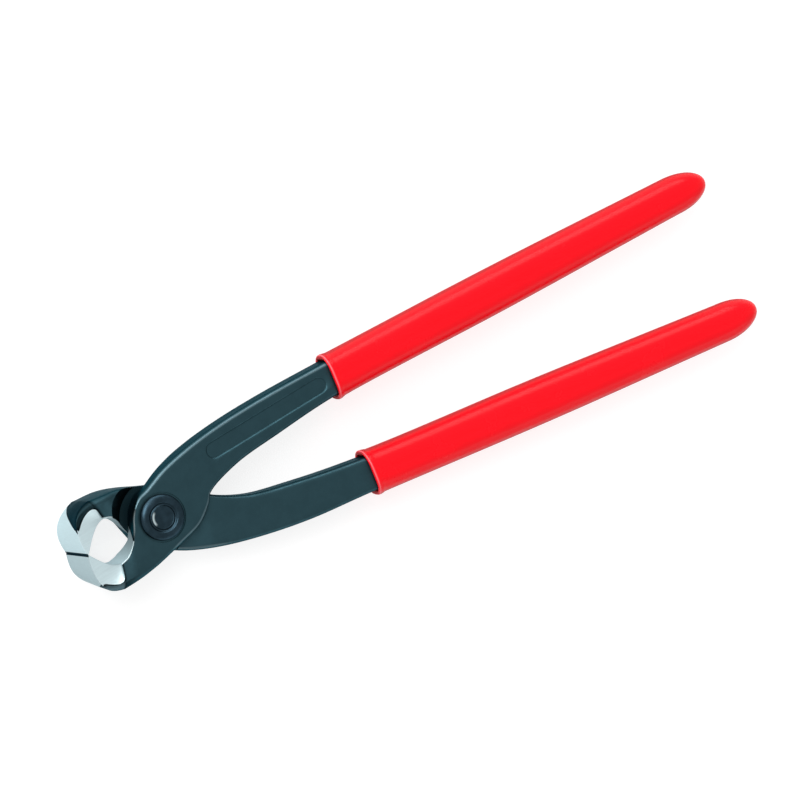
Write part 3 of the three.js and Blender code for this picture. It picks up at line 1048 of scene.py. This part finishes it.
def blend_values(tree, share, first, second):
    return feed(tree, "Mix", {0: share, 2: first, 3: second}, data_type="FLOAT").outputs[0]


def span(tree, value, low, high, first=0.0, second=1.0):
    """Smooth change from first to second while the value runs from low to high."""
    inputs = {0: value, 1: low, 2: high, 3: first, 4: second}
    return feed(tree, "MapRange", inputs, interpolation_type="SMOOTHSTEP").outputs[0]


def emboss(tree, height, strength, distance):
    """A normal that a height bends."""
    return feed(tree, "Bump", {"Strength": strength, "Distance": distance, "Height": height}).outputs[0]


def start_group(name, inputs, outputs):
    """An empty node group with number sockets."""
    group = bpy.data.node_groups.new(name, "ShaderNodeTree")
    for label, value in inputs.items():
        socket = group.interface.new_socket(name=label, in_out="INPUT", socket_type="NodeSocketFloat")
        socket.default_value = value
    for label in outputs:
        group.interface.new_socket(name=label, in_out="OUTPUT", socket_type="NodeSocketFloat")
    return group, group.nodes.new("NodeGroupInput"), group.nodes.new("NodeGroupOutput")


def forged_grain():
    """Mottling and fine grain of a forged and blackened face."""
    group, entry, leave = start_group("Forged grain", {"Scale": 1.0}, ("Mottle", "Grain"))
    place = feed(group, "TexCoord", {}).outputs["Object"]
    scaled = feed(group, "VectorMath", {0: place, "Scale": entry.outputs["Scale"]}, operation="SCALE")
    noise = {"Vector": scaled.outputs[0], "Roughness": 0.6}
    mottle = feed(group, "TexNoise", {**noise, "Scale": 260.0, "Detail": 4.0}).outputs["Fac"]
    grain = feed(group, "TexNoise", {**noise, "Scale": 1900.0, "Detail": 3.0}).outputs["Fac"]
    fill(group, leave, {"Mottle": span(group, mottle, 0.3, 0.7), "Grain": grain})
    return group


def edge_wear_and_sheen():
    """Masks of the edges, worn by use and painted lighter as sheen, broken up by noise, and of the walls'
    painted shade.
    """
    group, entry, leave = start_group("Edge wear and sheen", {"Amount": 0.5}, ("Mask", "Wall"))
    edge = stored(group, "edge")
    place = feed(group, "TexCoord", {}).outputs["Object"]
    noise = feed(group, "TexNoise", {"Vector": place, "Scale": 170.0, "Detail": 5.0}).outputs["Fac"]
    uneven = feed(group, "Math", {0: noise, 1: 0.5, 2: edge}, operation="MULTIPLY_ADD").outputs[0]
    wear_and_sheen = span(group, uneven, 0.4, 0.85)
    mask = feed(group, "Math", {0: wear_and_sheen, 1: entry.outputs["Amount"]}, operation="MULTIPLY").outputs[0]
    fill(group, leave, {"Mask": mask, "Wall": span(group, edge, -1.0, 0.0, 1.0, 0.0)})
    return group


def grinding_lines():
    """Fine parallel lines that the wheel leaves on ground steel."""
    group, entry, leave = start_group("Grinding lines", {"Density": 1.0}, ("Lines",))
    place = feed(group, "TexCoord", {}).outputs["Object"]
    stretch = {"Vector": place, "Rotation": (0.0, 0.0, 0.5), "Scale": (90.0, 2600.0, 500.0)}
    stretched = feed(group, "Mapping", stretch).outputs[0]
    noise = {"Vector": stretched, "Scale": entry.outputs["Density"], "Detail": 2.0}
    fill(group, leave, {"Lines": feed(group, "TexNoise", noise).outputs["Fac"]})
    return group


def use_group(tree, group, **inputs):
    return feed(tree, "Group", inputs, node_tree=group).outputs


def start_material(name):
    material = bpy.data.materials.new(name)
    material.use_nodes = True
    tree = material.node_tree
    return material, tree, tree.nodes["Principled BSDF"]


def opaque(value, share=1.0):
    """A colour for a shader, darker where the share is under 1."""
    return (*(share * part for part in value), 1.0)


def steel_material():
    """Blackened forged steel, worn and with painted sheen at its edges, ground bright round the cutting
    edges;
    painted shade on its walls, beside the ground zones, at the cutting edge and in the recess, and painted
    light and shade on the ground steel.
    """
    finish = sizes("finish")
    material, tree, surface = start_material("Blackened and ground steel")
    grain = use_group(tree, forged_grain())
    wear_and_sheen = use_group(tree, edge_wear_and_sheen(), Amount=0.22)
    lines = use_group(tree, grinding_lines())
    depth = stored(tree, "ground")
    bright = span(tree, depth, BRIGHT_START, BRIGHT_END)
    # Painted shade on the skin beside the ground zones, at the cutting edge and in the recess
    shadow = span(tree, depth, DARK_START, DARK_END, 1.0, 0.12)
    black = blend_colours(tree, grain["Mottle"], opaque(finish.steel, 0.84), opaque(finish.steel))
    # Lighter edge lines: wear, and painted sheen
    black = blend_colours(tree, wear_and_sheen["Mask"], black, opaque(finish.worn_steel_sheen))
    # Painted shade on the walls
    black = blend_colours(tree, wear_and_sheen["Wall"], black, opaque(finish.steel, 0.5))
    black = blend_colours(tree, 1.0, black, shadow, "MULTIPLY")
    clean = blend_colours(tree, lines["Lines"], opaque(finish.ground, 0.86), opaque(finish.ground))
    # Painted light and shade on the ground steel: facets full, nose less, throat least
    clean = blend_colours(tree, 1.0, clean, stored(tree, "shade"), "MULTIPLY")
    satin = blend_values(tree, grain["Mottle"], 0.46, 0.38)
    brushed = blend_values(tree, lines["Lines"], 0.36, 0.46)
    height = blend_values(tree, bright, grain["Grain"], lines["Lines"])
    fill(tree, surface, {
        "Base Color": blend_colours(tree, bright, black, clean),
        "Roughness": blend_values(tree, bright, satin, brushed),
        "Metallic": blend_values(tree, bright, 1.0, 0.7),
        "Specular Tint": opaque(finish.tint),
        "Normal": emboss(tree, height, 0.12, 0.06 * MM),
    })
    return material


def rivet_material():
    """Blackened rivet, pressed smooth, with a crescent of bright metal beside its middle as a painted glint.
    """
    finish = sizes("finish")
    material, tree, surface = start_material("Blackened rivet")
    grain = use_group(tree, forged_grain(), Scale=1.4)
    black = blend_colours(tree, grain["Mottle"], opaque(finish.rivet, 0.7), opaque(finish.rivet))
    fill(tree, surface, {
        # Painted glint: bright metal on one side of the middle
        "Base Color": blend_colours(tree, stored(tree, "bare_glint"), black, opaque(finish.ground)),
        "Roughness": blend_values(tree, grain["Mottle"], 0.3, 0.36),
        "Metallic": 1.0,
        "Specular Tint": opaque(finish.tint),
        "Normal": emboss(tree, grain["Grain"], 0.08, 0.05 * MM),
    })
    return material


def red_material():
    """Soft glossy dip, slightly uneven, duller on the sides of the grips and deeper red there as painted
    shade, with a painted highlight on their lips.
    """
    finish = sizes("finish")
    material, tree, surface = start_material("Red dip")
    grain = use_group(tree, forged_grain(), Scale=0.35)
    painted_side_shade = stored(tree, "painted_side_shade")
    red = blend_colours(tree, grain["Mottle"], opaque(finish.red, 0.95), opaque(finish.red))
    # Painted shade on the sides of the grips
    red = blend_colours(tree, painted_side_shade, red, opaque(finish.red, 0.45))
    gloss = blend_values(tree, grain["Mottle"], 0.24, 0.28)
    fill(tree, surface, {
        # Painted highlight on the crest of each lip
        "Base Color": blend_colours(tree, stored(tree, "bead"), red, opaque(finish.lip_highlight_red)),
        "Roughness": blend_values(tree, painted_side_shade, gloss, 0.6),
        "Specular IOR Level": 0.2,
        "Normal": emboss(tree, grain["Mottle"], 0.05, 0.2 * MM),
    })
    return material


def floor_material():
    """Pale dull floor that gives off some light."""
    material, tree, surface = start_material("Pale floor")
    fill(tree, surface, {
        "Base Color": opaque(sizes("finish").floor),
        "Roughness": 0.8,
        "Specular IOR Level": 0.0,
        "Emission Color": WHITE,
        "Emission Strength": FLOOR_GLOW,
    })
    return material


# Operators


class NIPPERS_OT_levers(bpy.types.Operator):
    """Forge both levers: the swept bar, its lap recess, the rivet hole and the sunk panel"""

    bl_idname = "nippers.levers"
    bl_label = "Forge the levers"

    def execute(self, context):
        steel = steel_material()
        front = forge_lever("front_lever_forging", 1)
        rear = forge_lever("rear_lever_forging", -1)
        place_piece(front, "front_lever", "front_half", steel)
        place_piece(rear, "rear_lever", "rear_half", steel, turned=True)
        return {"FINISHED"}


class NIPPERS_OT_rivet(bpy.types.Operator):
    """Spin the pivot rivet with its two domed and dimpled heads"""

    bl_idname = "nippers.rivet"
    bl_label = "Set the rivet"

    def execute(self, context):
        place_piece(spin_rivet(), "pivot_rivet", "rear_half", rivet_material())
        return {"FINISHED"}


class NIPPERS_OT_grips(bpy.types.Operator):
    """Draw both dipped grips with their rolled lips and rounded tips"""

    bl_idname = "nippers.grips"
    bl_label = "Dip the grips"

    def execute(self, context):
        red = red_material()
        front = dip_grip()
        rear = copy_piece(front, "rear_grip_dip")
        place_piece(front, "front_grip", "front_half", red)
        place_piece(rear, "rear_grip", "rear_half", red, turned=True)
        return {"FINISHED"}


def add_light(name, position, size, energy, target=(0, 0, 0)):
    """A rectangular soft light that faces its target."""
    data = bpy.data.lights.new(name, "AREA")
    data.shape = "RECTANGLE"
    data.size, data.size_y = size
    data.energy = energy
    light = bpy.data.objects.new(name, data)
    light.location = position
    light.rotation_euler = (Vector(target) - Vector(position)).to_track_quat("-Z", "Y").to_euler()
    bpy.context.collection.objects.link(light)


class NIPPERS_OT_stage(bpy.types.Operator):
    """Set up the pale floor, the soft studio light and the camera"""

    bl_idname = "nippers.stage"
    bl_label = "Set the stage"

    def execute(self, context):
        scene = context.scene
        bpy.ops.object.select_all(action="DESELECT")
        bpy.ops.mesh.primitive_plane_add(size=FLOOR_SIZE)
        floor = context.active_object
        floor.name = "floor"
        floor.data.materials.append(floor_material())
        world = bpy.data.worlds.new("studio")
        world.use_nodes = True
        fill(world.node_tree, world.node_tree.nodes["Background"], {"Color": WHITE, "Strength": STUDIO_GLOW})
        scene.world = world
        add_light("key", position=(-1.4, 1.8, 3.0), size=(2.0, 2.0), energy=75)
        add_light("strip", position=(0.1, 2.4, 1.2), size=(4.0, 1.4), energy=45, target=(0.05, 0, 0))
        add_light("fill", position=(0.6, -2.2, 0.9), size=(3.0, 0.9), energy=7)
        data = bpy.data.cameras.new("camera")
        data.lens = LENS
        data.sensor_width = SENSOR_WIDTH
        data.clip_end = CLIP_END
        camera = bpy.data.objects.new("camera", data)
        turn = Matrix.Rotation(CAMERA_HEADING, 3, "Z")
        turn @= Matrix.Rotation(CAMERA_TILT, 3, "X")
        turn @= Matrix.Rotation(CAMERA_ROLL, 3, "Z")
        camera.location = CAMERA_AIM + turn @ Vector((0, 0, CAMERA_DISTANCE))
        camera.rotation_euler = turn.to_euler()
        context.collection.objects.link(camera)
        scene.camera = camera
        scene.view_settings.view_transform = "Standard"
        return {"FINISHED"}


class NIPPERS_PT_sidebar(bpy.types.Panel):
    """Sizes, colours and steps of the nippers"""

    bl_idname = "NIPPERS_PT_sidebar"
    bl_label = "Nippers"
    bl_space_type = "VIEW_3D"
    bl_region_type = "UI"
    bl_category = "Nippers"

    def draw(self, context):
        for operator in STEPS:
            self.layout.operator(operator.bl_idname)
        for name in GROUPS:
            group = getattr(context.scene, name)
            box = self.layout.box()
            for key in group.bl_rna.properties.keys():
                if key not in {"rna_type", "name"}:
                    box.prop(group, key)


STEPS = (NIPPERS_OT_levers, NIPPERS_OT_rivet, NIPPERS_OT_grips, NIPPERS_OT_stage)


def register():
    for cls in (*GROUPS.values(), *STEPS, NIPPERS_PT_sidebar):
        bpy.utils.register_class(cls)
    for name, cls in GROUPS.items():
        setattr(bpy.types.Scene, name, PointerProperty(type=cls))


def unregister():
    for name in GROUPS:
        delattr(bpy.types.Scene, name)
    for cls in (NIPPERS_PT_sidebar, *reversed(STEPS), *reversed(GROUPS.values())):
        bpy.utils.unregister_class(cls)


def main():
    register()
    bpy.ops.nippers.levers()
    bpy.ops.nippers.rivet()
    bpy.ops.nippers.grips()
    bpy.ops.nippers.stage()


if __name__ == "__main__":
    main()
